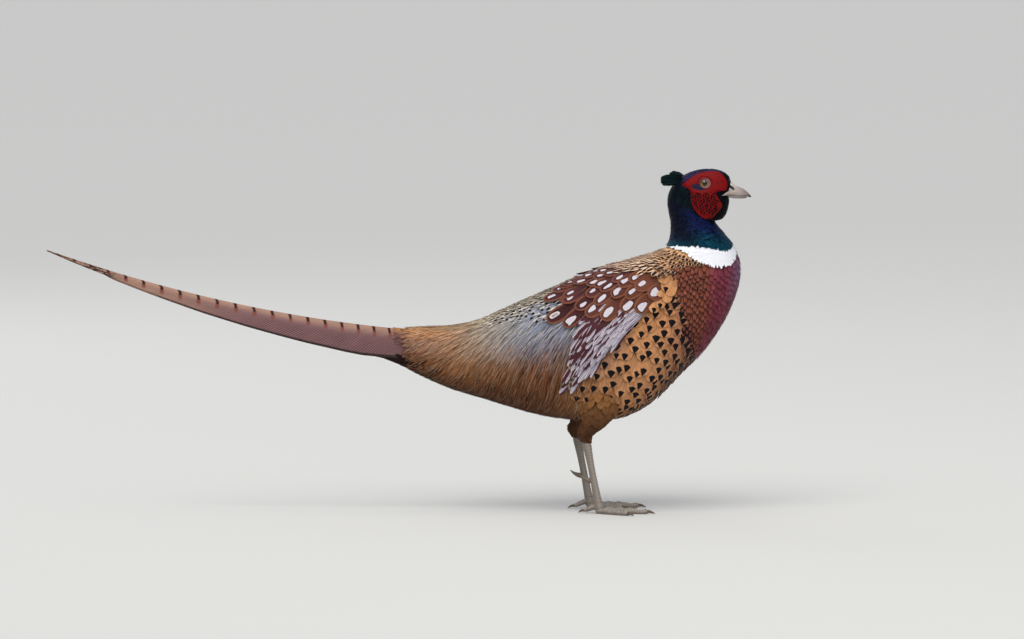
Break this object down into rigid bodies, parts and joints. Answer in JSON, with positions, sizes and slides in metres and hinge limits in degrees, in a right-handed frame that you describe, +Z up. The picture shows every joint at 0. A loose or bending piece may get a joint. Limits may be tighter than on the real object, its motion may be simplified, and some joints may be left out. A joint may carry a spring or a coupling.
{
  "type": "common pheasant",
  "caption": "Life-size male common pheasant standing still: folded wings, long barred tail, red face wattles, ear tufts and spurred legs.",
  "frame": {"origin": "on the floor, under the middle of the length from the tail's tip to the bill's tip, on the bird's middle plane", "axes": "+X forward, towards the bill; +Y towards the bird's left; +Z up from the floor it stands on"},
  "size_m": [0.7766, 0.1414, 0.3749],
  "materials": {
    "body_feathers": "glossy chestnut breast, golden flanks with black tips, blackish belly",
    "rump_feathers": "loose grey-blue and olive hair-like feathers, rufous towards the tail",
    "neck_feathers": "short, glossy, dark blue and green, over a white ring",
    "wing_feathers": "maroon and lavender-grey with white drops",
    "tail_feathers": "tan with black bars and mauve fringes",
    "thigh_feathers": "soft, dark rufous brown",
    "wattle": "matt red bare skin with small folds",
    "tuft_feathers": "black with a green gloss",
    "eye": "glossy, amber with a black pupil",
    "horn": "pale horn, satin",
    "leg_scales": "grey horny scales, satin"
  },
  "bodies": {
    "root": {"torso": "body_feathers", "rump": "rump_feathers", "neck": "neck_feathers", "head": "neck_feathers", "tail": "tail_feathers", "wing_right": "wing_feathers", "wing_left": "wing_feathers", "thigh_right": "thigh_feathers", "thigh_left": "thigh_feathers", "shank_right": "leg_scales", "shank_left": "leg_scales", "foot_right": "leg_scales", "foot_left": "leg_scales", "bill_upper": "horn", "bill_lower": "horn", "eye_right": "eye", "eye_left": "eye", "wattle_right": "wattle", "wattle_left": "wattle", "ear_tuft_right": "tuft_feathers", "ear_tuft_left": "tuft_feathers"}
  },
  "joints": []
}
